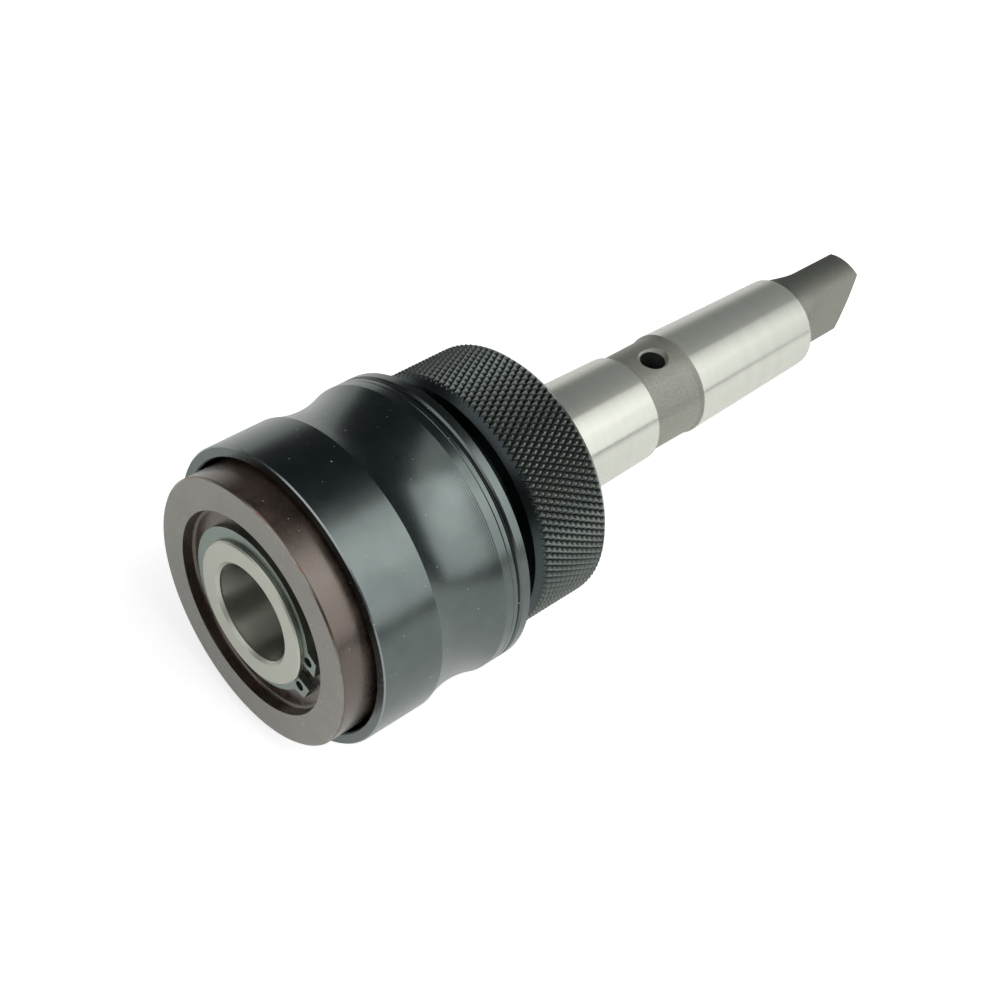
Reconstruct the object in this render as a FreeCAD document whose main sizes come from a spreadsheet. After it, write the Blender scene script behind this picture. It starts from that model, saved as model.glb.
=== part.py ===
import FreeCAD, Part
import math
import os
import Sketcher

# Quick-change arbor for hole saws and annular cutters, with a tanged taper shank.
# The tool axis is +X. The origin is the centre of the socket's mouth, on the nose face.
# +Z is the coolant port's side, and the two flats of the tang face +Y and -Y.
# Every size below is a length in millimetres, unless its note says otherwise.
SIZES = {
    # socket and nose tube
    "socket_dia": (19.05, "bore for a three-quarter inch cutter shank"),
    "socket_depth": (36.0, "mouth to the floor of the bore"),
    "mouth_chamfer": (0.6, "lead-in at the mouth"),
    "nose_wall": (4.475, "nose tube round the socket"),
    "shoulder_step": (0.6, "step of the nose tube that the front ring sits on"),
    "edge_break": (0.3, "bevel that takes the sharpness off a corner"),
    # front ring and the shaft circlips
    "ring_length": (16.7, "front face to rear face"),
    "ring_edge": (0.35, "bevel on the ring's outer corners"),
    "ring_web": (7.0, "ring material between the circlip and the tube's step"),
    "ring_rim": (6.25, "rim round the counterbore in the ring's front face"),
    "recess_fillet": (0.8, "round at the foot of the counterbore's wall"),
    "clip_inset": (1.0, "nose face to the circlip"),
    "clip_thick": (1.5, "both shaft circlips"),
    "clip_depth": (0.7, "depth of a circlip groove"),
    "clip_width": (3.2, "broad side of a shaft circlip"),
    "clip_narrow": (1.9, "shaft circlip beside its lugs"),
    "lug_reach": (4.0, "lug outwards from the groove's floor"),
    "lug_apart": (4.15, "middle of a circlip's gap to a lug's hole"),
    "lug_hole": (2.0, "plier hole in a lug"),
    "clip_turn": (98.0, "degrees from +Z to the nose circlip's gap, towards -Y"),
    "wiper_section": (2.0, "front wiper, round section"),
    "wiper_inset": (3.0, "ring's rear face to the wiper's middle"),
    # release sleeve
    "sleeve_gap": (0.85, "front ring to the sleeve round it"),
    "sleeve_wall": (2.2, "sleeve round the front ring"),
    "sleeve_front": (6.3, "nose face to the sleeve's front face"),
    "sleeve_edge": (0.25, "bevel round the sleeve's front face"),
    "front_band": (12.8, "length of the front band"),
    "waist_length": (14.9, "length of the hollow waist"),
    "waist_depth": (1.3, "hollow of the waist below the bands"),
    "rear_band": (1.86, "sleeve's own part of the rear band"),
    "rear_wall": (3.9, "sleeve round the end ring's spigot"),
    "lip_thick": (1.8, "lip in front of the cam ring"),
    "lip_height": (3.1, "how far the lip covers the cam ring's face"),
    "rest_gap": (0.2, "sleeve off the front ring, and other stops at rest"),
    "travel": (5.0, "stroke of the sleeve"),
    # cam ring and lock keys
    "cam_wall": (5.85, "cam ring outside its guide land"),
    "cam_length": (10.0, "cam ring along the axis"),
    "seat_lip": (1.2, "sleeve behind the cam ring's snap wire"),
    "key_middle": (23.0, "nose face to the lock keys' axis"),
    "key_dia": (8.0, "shank of a lock key"),
    "key_head": (9.8, "head of a lock key"),
    "key_dome": (6.0, "radius of the head's dome"),
    "key_stand": (1.175, "lock key into the socket when it is locked"),
    "key_lift": (1.3, "how far a key moves out"),
    "key_sink": (2.3, "outside of the tube to the underside of a key's head"),
    "key_crown": (0.8, "outside of the tube to the top of a key's dome"),
    "key_turn": (90.0, "degrees between the two keys"),
    # end ring, guide pins and snap rings
    "end_length": (4.04, "end ring's part of the rear band"),
    "end_edge": (0.15, "bevel round the end ring's rear face"),
    "joint_edge": (0.1, "bevels where the sleeve and its end ring meet"),
    "spigot_wall": (3.22, "end ring's spigot inside the sleeve"),
    "wire_dia": (1.0, "round wire of the inner snap rings"),
    "ring_wire": (0.7, "round wire of the ring over the guide pins"),
    "wire_groove": (0.85, "depth of the groove for the wire ring"),
    "groove_inset": (0.94, "front of the end ring to the wire groove"),
    "groove_bevel": (0.5, "bevel on the rear edge of the wire groove"),
    "wire_gap": (0.8, "opening between the wire ring's ends"),
    "wire_turn": (76.6, "degrees from +Z to the wire ring's opening, towards -Y"),
    "pin_dia": (1.6, "guide pins"),
    "pin_engage": (1.6, "depth of a guide pin in its slot"),
    "pin_count": (2, "number of guide pins and slots"),
    "pin_turn": (120.0, "degrees from +Z to the first guide pin, towards -Y"),
    # hub and return spring
    "spring_room": (4.3, "nose tube to the wall of the hub's spring pocket"),
    "hub_gap": (0.5, "spare stroke between cam ring and hub"),
    "hub_web": (2.5, "hub behind the spring pocket"),
    "pocket_wall": (3.1, "hub round the spring pocket"),
    "washer_thick": (1.0, "spring seat washer"),
    "return_wire": (1.6, "wire of the return spring"),
    "return_turns": (4, "turns of the return spring"),
    # knurled collar
    "collar_gap": (0.3, "end ring to the collar at full stroke"),
    "collar_dia": (52.7, "over the knurl"),
    "collar_length": (17.8, "knurled collar along the axis"),
    "collar_bevel_run": (1.6, "collar's corner bevels along the axis"),
    "collar_bevel_rise": (1.5, "collar's corner bevels across the axis"),
    "seat_dia": (34.0, "shaft seat under the collar"),
    "collar_recess": (4.0, "depth of the collar's rear counterbore"),
    "recess_room": (1.2, "circlip's lugs to the wall of the collar's counterbore"),
    "drive_key_width": (5.0, "width and height of the collar's drive key"),
    "drive_key_sink": (3.0, "depth of the drive key in the shaft seat"),
    "drive_key_length": (10.0, "length of the collar's drive key"),
    "drive_key_inset": (1.8, "collar's front face to the drive key"),
    # taper shank
    "clip_land": (1.25, "shaft seat behind the collar's circlip"),
    "taper_dia": (24.1, "taper at its large end"),
    "taper_rate": (0.0502, "change of diameter per millimetre, number 3 taper"),
    "shank_length": (99.7, "large end to the tip of the tang"),
    "relief_inset": (30.4, "large end to the coolant groove"),
    "relief_width": (13.85, "width of the coolant groove"),
    "relief_depth": (0.74, "depth of the coolant groove"),
    "relief_slope": (1.0, "length of the coolant groove's sloping shoulders"),
    "port_dia": (5.1, "radial coolant port"),
    "port_inset": (7.3, "front of the coolant groove to the port's axis"),
    "port_sink": (0.85, "countersink round the port"),
    "port_turn": (-3.5, "degrees from +Z to the port, towards -Y"),
    "tang_length": (20.4, "tang along the axis"),
    "tang_thick": (7.9, "between the tang's flats"),
    "tang_step": (0.75, "end of the taper down to the tang"),
    "tang_draft": (0.3, "how much the tang narrows towards its tip, each side"),
    "tang_root": (7.0, "radius of the run-out at the foot of each flat"),
    "tang_crown": (62.0, "radius of the rounded tip"),
    # socket seal
    "seal_start": (13.2, "nose face to the seal's groove"),
    "seal_width": (2.4, "width of the seal's groove"),
    "seal_depth": (1.675, "depth of the seal's groove"),
    "seal_section": (1.8, "round section of the seal"),
    # ejector
    "bush_floor": (6.0, "socket floor to the bush's rear face"),
    "bush_length": (4.3, "plunger bush along the axis"),
    "bush_step": (1.5, "bush's seat outside the piston's bore"),
    "guide_dia": (12.0, "bore that the plunger's piston slides in"),
    "guide_length": (20.0, "length of the piston's bore"),
    "duct_dia": (6.0, "axial coolant duct"),
    "duct_run_on": (2.0, "duct beyond the port"),
    "stem_dia": (8.0, "plunger's stem"),
    "stem_stand": (5.0, "stem beyond the socket floor"),
    "piston_length": (6.0, "plunger's piston"),
    "plunger_duct": (3.0, "hole through the plunger"),
    "plunger_seal": (1.4, "round section of the plunger's seal"),
    "ejector_wire": (1.0, "wire of the ejector spring"),
    "ejector_turns": (5, "turns of the ejector spring"),
    # clearances
    "run_gap": (0.05, "radial clearance of a running fit"),
    "seat_gap": (0.03, "clearance of a piece seated without motion"),
    "side_gap": (0.05, "clearance each side of a key or clip in its groove"),
}

doc = FreeCAD.newDocument("QuickChangeArbor")
sheet = doc.addObject("Spreadsheet::Sheet", "Sizes")
for row, (alias, (number, note)) in enumerate(SIZES.items(), start=1):
    sheet.set(f"A{row}", alias)
    sheet.set(f"B{row}", str(number))
    sheet.set(f"C{row}", note)
    sheet.setAlias(f"B{row}", alias)
doc.recompute()


class Length:
    """A value together with the sheet expression that gives it."""

    def __init__(self, value, text):
        self.value = value
        self.text = text

    def join(self, other, sign, value):
        return Length(value, f"({self.text} {sign} {length(other).text})")

    def __add__(self, other):
        return self.join(other, "+", self.value + length(other).value)

    def __sub__(self, other):
        return self.join(other, "-", self.value - length(other).value)

    def __mul__(self, other):
        return self.join(other, "*", self.value * length(other).value)

    def __truediv__(self, other):
        return self.join(other, "/", self.value / length(other).value)


def length(number):
    """A plain number as a Length."""
    return number if isinstance(number, Length) else Length(float(number), repr(float(number)))


def square_root(number):
    return Length(math.sqrt(number.value), f"sqrt({number.text})")


def size(alias):
    """One cell of the sheet."""
    return Length(float(SIZES[alias][0]), f"Sizes.{alias}")


def radius(alias):
    return size(alias) / 2


ZERO = length(0)

# Places along the tool axis that more than one piece uses, from the nose face back.
clip_rear = size("clip_inset") + size("clip_thick")
tube_shoulder = clip_rear + size("ring_web")
web_front = size("ring_length") + size("rest_gap")
cam_front = web_front + size("lip_thick")
cam_rear = cam_front + size("cam_length")
wire_rear = cam_rear + size("wire_dia") + size("side_gap")
web_rear = wire_rear + size("seat_lip")
hub_front = web_rear + size("travel") + size("hub_gap")
waist_front = size("sleeve_front") + size("front_band")
waist_rear = waist_front + size("waist_length")
sleeve_rear = waist_rear + size("rear_band")
groove_front = sleeve_rear + size("groove_inset")
groove_rear = groove_front + size("ring_wire") + size("side_gap") * 2
pin_middle = (groove_front + groove_rear) / 2
end_rear = sleeve_rear + size("end_length")
collar_front = end_rear + size("travel") + size("collar_gap")
collar_rear = collar_front + size("collar_length")
recess_floor = collar_rear - size("collar_recess")
pocket_floor = collar_front - size("hub_web")
washer_front = pocket_floor - size("washer_thick")
drive_key_start = collar_front + size("drive_key_inset")
drive_key_end = drive_key_start + size("drive_key_length")
taper_start = recess_floor + size("clip_thick") + size("side_gap") + size("clip_land")
relief_start = taper_start + size("relief_inset")
relief_end = relief_start + size("relief_width")
port_middle = relief_start + size("port_inset")
tang_tip = taper_start + size("shank_length")
tang_start = tang_tip - size("tang_length")
bush_rear = size("socket_depth") + size("bush_floor")
bush_front = bush_rear - size("bush_length")
guide_floor = bush_rear + size("guide_length")
piston_front = bush_rear + size("rest_gap")
piston_rear = piston_front + size("piston_length")
piston_middle = piston_front + size("piston_length") / 2

# Radii that more than one piece uses, from the socket out.
nose_radius = radius("socket_dia") + size("nose_wall")
tube_radius = nose_radius + size("shoulder_step")
land_radius = tube_radius + size("run_gap")
cam_outer = land_radius + size("cam_wall")
pocket_radius = tube_radius + size("spring_room")
hub_radius = pocket_radius + size("pocket_wall")
pin_reach = hub_radius - size("pin_engage")
spigot_bore = hub_radius + size("run_gap") + size("spigot_wall") + size("seat_gap")
sleeve_radius = spigot_bore + size("rear_wall")
mouth_radius = sleeve_radius - size("sleeve_wall")
ring_radius = mouth_radius - size("sleeve_gap")
recess_radius = ring_radius - size("ring_rim")
seat_radius = radius("seat_dia")
counterbore_radius = seat_radius - size("clip_depth") + size("lug_reach") + size("recess_room")
drive_key_top = seat_radius - size("drive_key_sink") + size("drive_key_width")
drive_key_half = size("drive_key_width") / 2 + size("side_gap")
bush_radius = radius("guide_dia") + size("bush_step")

# The keys ride on the cam's cone. Its slope is the key's lift over the sleeve's stroke.
key_reach = radius("socket_dia") - size("key_stand")
key_shoulder = tube_radius - size("key_sink")
key_top = tube_radius + size("key_crown")
dome_centre = key_top - size("key_dome")
cam_slope = size("key_lift") / size("travel")
cam_slant = square_root(cam_slope * cam_slope + 1)
cam_radius = dome_centre + (size("key_dome") + size("run_gap")) * cam_slant
land_front = size("key_middle") + (cam_radius - land_radius) / cam_slope


def taper_radius(x):
    """Radius of the shank's taper at a distance from the nose face."""
    return radius("taper_dia") - (x - taper_start) * size("taper_rate") / 2


relief_floor = taper_radius(relief_start) - size("relief_depth")
neck_radius = taper_radius(tang_start) - size("tang_step")
tang_radius = neck_radius - size("tang_draft")


def origin_part(body, role):
    return next(part for part in body.Origin.OriginFeatures if part.Role == role)


def new_body(label):
    body = doc.addObject("PartDesign::Body", label)
    body.Label = label
    return body


def new_sketch(body, name, role="XY_Plane", offset=None, angle=None):
    """A sketch on one of the body's own planes, moved along its normal by the offset.

    With an angle, a plane along the tool axis is first turned about it, from +Z towards -Y.
    """
    sketch = body.newObject("Sketcher::SketchObject", name)
    sketch.AttachmentSupport = [(origin_part(body, role), "")]
    sketch.MapMode = "FlatFace"
    if angle is not None:
        sketch.AttachmentOffset = FreeCAD.Placement(
            FreeCAD.Vector(), FreeCAD.Rotation(FreeCAD.Vector(1, 0, 0), angle.value)
        )
        sketch.setExpression(".AttachmentOffset.Rotation.Angle", f"{angle.text} * 1deg")
    if angle is not None and offset is not None:
        sketch.setExpression(".AttachmentOffset.Base.y", f"-({offset.text}) * sin({angle.text} * 1deg)")
        sketch.setExpression(".AttachmentOffset.Base.z", f"({offset.text}) * cos({angle.text} * 1deg)")
    elif offset is not None:
        sketch.setExpression(".AttachmentOffset.Base.z", offset.text)
    return sketch


def bind(sketch, constraint, number):
    index = sketch.addConstraint(constraint)
    sketch.setExpression(f"Constraints[{index}]", number.text)


def place_point(sketch, element, point, across, up):
    """Ties one point of a sketch element to its two coordinates."""
    for kind, axis, number in (("DistanceX", -2, across), ("DistanceY", -1, up)):
        if abs(number.value) < 1e-9:
            sketch.addConstraint(Sketcher.Constraint("PointOnObject", element, point, axis))
        elif number.value > 0:
            rule = Sketcher.Constraint(kind, -1, 1, element, point, number.value)
            bind(sketch, rule, number)
        else:
            rule = Sketcher.Constraint(kind, element, point, -1, 1, -number.value)
            bind(sketch, rule, ZERO - number)


def arc_middle(start, end, bend, side):
    """The middle of the arc of that radius from start to end, on one side of its chord."""
    chord = end - start
    rise = bend - math.sqrt(max(bend * bend - chord.Length ** 2 / 4, 0))
    left = FreeCAD.Vector(-chord.y, chord.x, 0).normalize()
    return (start + end) / 2 + left * rise * side


def draw_outline(sketch, corners):
    """A closed outline through the corners; a corner with a third value starts an arc.

    The third value is (radius, side). Side 1 bulges to the left of the way along the outline,
    and side -1 to the right.
    """
    points = [FreeCAD.Vector(corner[0].value, corner[1].value, 0) for corner in corners]
    ends = []
    for index, corner in enumerate(corners):
        start = points[index]
        end = points[(index + 1) % len(points)]
        if len(corner) == 3:
            bend, side = corner[2]
            curve = Part.Arc(start, arc_middle(start, end, bend.value, side), end)
            element = sketch.addGeometry(curve, False)
            bind(sketch, Sketcher.Constraint("Radius", element, bend.value), bend)
        else:
            element = sketch.addGeometry(Part.LineSegment(start, end), False)
        first = 1 if sketch.getPoint(element, 1).isEqual(start, 1e-6) else 2
        ends.append((element, first, 3 - first))
    for index, (element, first, last) in enumerate(ends):
        following, its_first, its_last = ends[(index + 1) % len(ends)]
        sketch.addConstraint(Sketcher.Constraint("Coincident", element, last, following, its_first))
        place_point(sketch, element, first, corners[index][0], corners[index][1])


def draw_circle(sketch, across, up, round_radius):
    centre = FreeCAD.Vector(across.value, up.value, 0)
    circle = Part.Circle(centre, FreeCAD.Vector(0, 0, 1), round_radius.value)
    element = sketch.addGeometry(circle, False)
    place_point(sketch, element, 3, across, up)
    bind(sketch, Sketcher.Constraint("Radius", element, round_radius.value), round_radius)


def turn(body, name, corners, kind="PartDesign::Revolution"):
    """Turns a half outline of (x, radius) corners round the tool axis."""
    sketch = new_sketch(body, name + "_outline")
    draw_outline(sketch, corners)
    feature = body.newObject(kind, name)
    feature.Profile = sketch
    feature.ReferenceAxis = (sketch, ["H_Axis"])
    feature.Angle = 360
    doc.recompute()
    return feature


def turn_upright(body, name, middle, corners, kind="PartDesign::Revolution", angle=None):
    """Turns an outline of (x, height) corners round an upright line at that place on the tool axis."""
    sketch = new_sketch(body, name + "_outline", "XZ_Plane", angle=angle)
    draw_outline(sketch, corners)
    foot = FreeCAD.Vector(middle.value, 0, 0)
    line = sketch.addGeometry(Part.LineSegment(foot, foot + FreeCAD.Vector(0, 5, 0)), True)
    place_point(sketch, line, 1, middle, ZERO)
    place_point(sketch, line, 2, middle, length(5))
    feature = body.newObject(kind, name)
    feature.Profile = sketch
    feature.ReferenceAxis = (sketch, ["Axis0"])
    feature.Angle = 360
    doc.recompute()
    return feature


def groove(body, name, corners):
    """Turns the outline as a cut, and makes sure that it took material away."""
    before = body.Shape.Volume
    feature = turn(body, name, corners, "PartDesign::Groove")
    check_cut(body, name, before)
    return feature


def box_corners(x_low, x_high, r_low, r_high):
    return [(x_low, r_low), (x_high, r_low), (x_high, r_high), (x_low, r_high)]


def check_cut(body, name, before):
    if not body.Shape.Volume < before - 1e-3:
        raise RuntimeError(f"{body.Label}: {name} cut nothing")


def pad(body, name, sketch, height, reverse=False):
    feature = body.newObject("PartDesign::Pad", name)
    feature.Profile = sketch
    feature.Reversed = reverse
    feature.setExpression("Length", height.text)
    doc.recompute()
    return feature


def pocket(body, name, sketch, depth, reverse=False, both_ways=False):
    before = body.Shape.Volume
    feature = body.newObject("PartDesign::Pocket", name)
    feature.Profile = sketch
    feature.Reversed = reverse
    feature.Midplane = both_ways
    feature.setExpression("Length", depth.text)
    doc.recompute()
    check_cut(body, name, before)
    return feature


def pattern_round(body, name, features, count, angle=360.0):
    """Repeats cut features round the tool axis."""
    before = body.Shape.Volume
    feature = body.newObject("PartDesign::PolarPattern", name)
    feature.Originals = features
    feature.Axis = (origin_part(body, "X_Axis"), [""])
    if isinstance(angle, Length):
        feature.setExpression("Angle", angle.text)
    else:
        feature.Angle = angle
    feature.setExpression("Occurrences", count.text)
    body.Tip = feature
    doc.recompute()
    check_cut(body, name, before)
    return feature


def turn_about_axis(body, angle):
    """Turns the whole body about the tool axis, from +Z towards -Y."""
    body.Placement = FreeCAD.Placement(
        FreeCAD.Vector(), FreeCAD.Rotation(FreeCAD.Vector(1, 0, 0), angle.value)
    )
    body.setExpression(".Placement.Rotation.Angle", f"{angle.text} * 1deg")


def shaft_body():
    """Nose tube, hub, collar seat and taper shank, turned from one bar."""
    body = new_body("arbor_body")
    edge = size("edge_break")
    step = size("tang_step") - edge
    crown = size("tang_crown")
    corner = tang_tip - crown + square_root(crown * crown - tang_radius * tang_radius)
    turn(body, "blank", [
        (ZERO, ZERO),
        (ZERO, nose_radius - edge),
        (edge, nose_radius),
        (tube_shoulder, nose_radius),
        (tube_shoulder, tube_radius),
        (hub_front, tube_radius),
        (hub_front, hub_radius - edge),
        (hub_front + edge, hub_radius),
        (collar_front, hub_radius),
        (collar_front, seat_radius),
        (taper_start, seat_radius),
        (taper_start, radius("taper_dia")),
        (tang_start - edge, taper_radius(tang_start)),
        (tang_start, taper_radius(tang_start) - edge, (step, -1)),
        (tang_start + step, neck_radius),
        (corner, tang_radius, (crown, 1)),
        (tang_tip, ZERO),
    ])
    cut_socket(body)
    cut_key_windows(body)
    cut_hub(body)
    cut_shank(body)
    return body


def cut_socket(body):
    bore = radius("socket_dia")
    mouth = bore + size("mouth_chamfer")
    groove(body, "socket", [
        (ZERO, ZERO),
        (ZERO, mouth),
        (size("mouth_chamfer"), bore),
        (size("socket_depth"), bore),
        (size("socket_depth"), bush_radius),
        (bush_rear, bush_radius),
        (bush_rear, radius("guide_dia")),
        (guide_floor, radius("guide_dia")),
        (guide_floor, radius("duct_dia")),
        (port_middle + radius("port_dia") + size("duct_run_on"), radius("duct_dia")),
        (port_middle + radius("port_dia") + size("duct_run_on"), ZERO),
    ])
    groove(body, "seal_groove", box_corners(
        size("seal_start"), size("seal_start") + size("seal_width"),
        bore - size("run_gap"), bore + size("seal_depth"),
    ))
    groove(body, "bush_ring_groove", box_corners(
        bush_front - size("wire_dia") - size("side_gap") * 2, bush_front - size("side_gap"),
        bush_radius - size("run_gap"), bush_radius + size("wire_dia") / 3,
    ))
    groove(body, "nose_clip_groove", box_corners(
        size("clip_inset") - size("side_gap"), clip_rear + size("side_gap"),
        nose_radius - size("clip_depth"), nose_radius + size("run_gap"),
    ))


def cut_key_windows(body):
    """Two stepped holes through the nose tube, one for each flat of a cutter shank."""
    hole = new_sketch(body, "key_hole_outline")
    draw_circle(hole, size("key_middle"), ZERO, radius("key_dia") + size("run_gap"))
    through = pocket(body, "key_hole", hole, tube_radius + size("run_gap"), reverse=True)
    step = new_sketch(body, "key_step_outline", offset=key_shoulder - size("seat_gap"))
    draw_circle(step, size("key_middle"), ZERO, radius("key_head") + size("run_gap"))
    sink = pocket(body, "key_step", step, tube_radius - key_shoulder + 1, reverse=True)
    pattern_round(body, "key_windows", [through, sink], length(2), size("key_turn"))


def cut_hub(body):
    groove(body, "spring_pocket", box_corners(
        hub_front - size("run_gap"), pocket_floor, tube_radius, pocket_radius,
    ))
    floor = pin_reach - size("rest_gap")
    depth = hub_radius - pin_reach + 1
    half = radius("pin_dia") + size("side_gap")
    end = pin_middle + size("travel") + size("side_gap")
    slot = new_sketch(body, "guide_slot_outline", offset=floor, angle=size("pin_turn"))
    draw_outline(slot, [
        (hub_front - 1, ZERO - half),
        (end, ZERO - half),
        (end, half),
        (hub_front - 1, half),
    ])
    slot_cut = pocket(body, "guide_slot", slot, depth, reverse=True)
    slot_end = new_sketch(body, "guide_slot_end_outline", offset=floor, angle=size("pin_turn"))
    draw_circle(slot_end, end, ZERO, half)
    end_cut = pocket(body, "guide_slot_end", slot_end, depth, reverse=True)
    pattern_round(body, "guide_slots", [slot_cut, end_cut], size("pin_count"))
    groove(body, "collar_clip_groove", box_corners(
        recess_floor - size("side_gap"), recess_floor + size("clip_thick") + size("side_gap"),
        seat_radius - size("clip_depth"), seat_radius + size("run_gap"),
    ))
    keyway = new_sketch(body, "keyway_outline", offset=ZERO - (seat_radius - size("drive_key_sink")))
    draw_outline(keyway, [
        (drive_key_start, ZERO - drive_key_half),
        (drive_key_end, ZERO - drive_key_half),
        (drive_key_end, drive_key_half),
        (drive_key_start, drive_key_half),
    ])
    pocket(body, "keyway", keyway, size("drive_key_sink") + 1)


def cut_shank(body):
    slope = size("relief_slope")
    front_land = taper_radius(relief_start)
    rear_land = taper_radius(relief_end)
    groove(body, "coolant_groove", [
        (relief_start, front_land + 1),
        (relief_start, front_land),
        (relief_start + slope, relief_floor),
        (relief_end - slope, relief_floor),
        (relief_end, rear_land),
        (relief_end, rear_land + 1),
    ])
    port = new_sketch(body, "port_outline", angle=size("port_turn"))
    draw_circle(port, port_middle, ZERO, radius("port_dia"))
    pocket(body, "port", port, relief_floor + 1, reverse=True)
    floor = relief_floor
    sink = size("port_sink")
    before = body.Shape.Volume
    turn_upright(body, "port_sink", port_middle, [
        (port_middle, floor - sink),
        (port_middle + radius("port_dia"), floor - sink),
        (port_middle + radius("port_dia") + sink * 2, floor + sink),
        (port_middle, floor + sink),
    ], "PartDesign::Groove", size("port_turn"))
    check_cut(body, "port_sink", before)
    cut_flats(body)


def cut_flats(body):
    """Both flats of the tang, each with the round run-out that the cutter leaves."""
    root = size("tang_root")
    half = radius("tang_thick")
    reach = taper_radius(tang_start) + 1
    beyond = tang_tip + 1
    # The run-out starts on the turned neck and meets the flat at a tangent.
    rise = root - neck_radius + half
    run = square_root(root * root - rise * rise)
    for name, side in (("near_flat", -1), ("far_flat", 1)):
        sketch = new_sketch(body, name + "_outline")
        draw_outline(sketch, [
            (tang_start + run, half * side),
            (beyond, half * side),
            (beyond, reach * side),
            (tang_start, reach * side),
            (tang_start, neck_radius * side, (root, -side)),
        ])
        pocket(body, name, sketch, reach * 3, both_ways=True)


def front_ring():
    """Brown ring on the nose, held between the tube's shoulder and the circlip."""
    body = new_body("front_ring")
    edge = size("ring_edge")
    outer = ring_radius
    recess = recess_radius
    fillet = size("recess_fillet")
    wiper = size("ring_length") - size("wiper_inset")
    half = size("wiper_section") / 2 + size("side_gap")
    groove_floor = mouth_radius - size("wiper_section") - size("side_gap") * 2
    turn(body, "ring", [
        (ZERO, recess),
        (ZERO, outer - edge),
        (edge, outer),
        (wiper - half, outer),
        (wiper - half, groove_floor),
        (wiper + half, groove_floor),
        (wiper + half, outer),
        (size("ring_length") - edge, outer),
        (size("ring_length"), outer - edge),
        (size("ring_length"), tube_radius + size("seat_gap")),
        (tube_shoulder - size("seat_gap"), tube_radius + size("seat_gap")),
        (tube_shoulder - size("seat_gap"), nose_radius + size("seat_gap")),
        (clip_rear, nose_radius + size("seat_gap")),
        (clip_rear, recess - fillet, (fillet, -1)),
        (clip_rear - fillet, recess),
    ])
    return body


def retaining_ring(label, front, groove_floor, gap_turn):
    """A stamped shaft circlip: broad opposite its gap, with a drilled lug each side of it."""
    body = new_body(label)
    inner = groove_floor + size("seat_gap")
    broad = inner + size("clip_width")
    narrow = inner + size("clip_narrow")
    ring_outer = (broad + narrow) / 2
    shift = (broad - narrow) / 2
    lug_radius = size("lug_hole") * 1.05
    lug_centre = groove_floor + size("lug_reach") - lug_radius
    apart = size("lug_apart")
    lug_up = square_root(lug_centre * lug_centre - apart * apart)
    blank = new_sketch(body, label + "_blank_outline", "YZ_Plane", front)
    draw_circle(blank, ZERO, ZERO - shift, ring_outer)
    pad(body, label + "_blank", blank, size("clip_thick"))
    lugs = new_sketch(body, label + "_lug_outline", "YZ_Plane", front)
    half_gap = apart - lug_radius * 0.85
    for side in (-1, 1):
        draw_outline(lugs, [
            (half_gap * side, lug_up - lug_radius * 0.55),
            (half_gap * side, lug_up + lug_radius * 1.1),
            ((half_gap + lug_radius * 1.6) * side, lug_up + lug_radius * 0.85),
            ((half_gap + lug_radius * 2.0) * side, lug_up - lug_radius * 0.55),
        ])
    pad(body, label + "_lugs", lugs, size("clip_thick"))
    opening = new_sketch(body, label + "_opening_outline", "YZ_Plane", front)
    draw_circle(opening, ZERO, ZERO, inner)
    pocket(body, label + "_opening", opening, size("clip_thick") * 3, both_ways=True)
    gap = new_sketch(body, label + "_gap_outline", "YZ_Plane", front)
    top = lug_centre + lug_radius * 2
    draw_outline(gap, [
        (ZERO - half_gap, ZERO),
        (half_gap, ZERO),
        (half_gap, top),
        (ZERO - half_gap, top),
    ])
    pocket(body, label + "_gap", gap, size("clip_thick") * 3, both_ways=True)
    holes = new_sketch(body, label + "_holes_outline", "YZ_Plane", front)
    for side in (-1, 1):
        draw_circle(holes, apart * side, lug_up, radius("lug_hole"))
    pocket(body, label + "_holes", holes, size("clip_thick") * 3, both_ways=True)
    turn_about_axis(body, gap_turn)
    return body


def round_ring(label, middle, centre_radius, section):
    """A closed ring of round section, such as a seal."""
    body = new_body(label)
    sketch = new_sketch(body, label + "_section")
    draw_circle(sketch, middle, centre_radius, section / 2)
    feature = body.newObject("PartDesign::Revolution", label + "_ring")
    feature.Profile = sketch
    feature.ReferenceAxis = (sketch, ["H_Axis"])
    feature.Angle = 360
    doc.recompute()
    return body


def open_wire_ring(label, middle, centre_radius, wire, gap, gap_turn):
    """A snap ring of round wire, open by a short gap."""
    body = round_ring(label, middle, centre_radius, wire)
    cut = new_sketch(body, label + "_gap_outline", "YZ_Plane", middle)
    half = gap / 2
    top = centre_radius + wire
    draw_outline(cut, [(ZERO - half, ZERO), (half, ZERO), (half, top), (ZERO - half, top)])
    pocket(body, label + "_gap", cut, wire * 3, both_ways=True)
    turn_about_axis(body, gap_turn)
    return body


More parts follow.
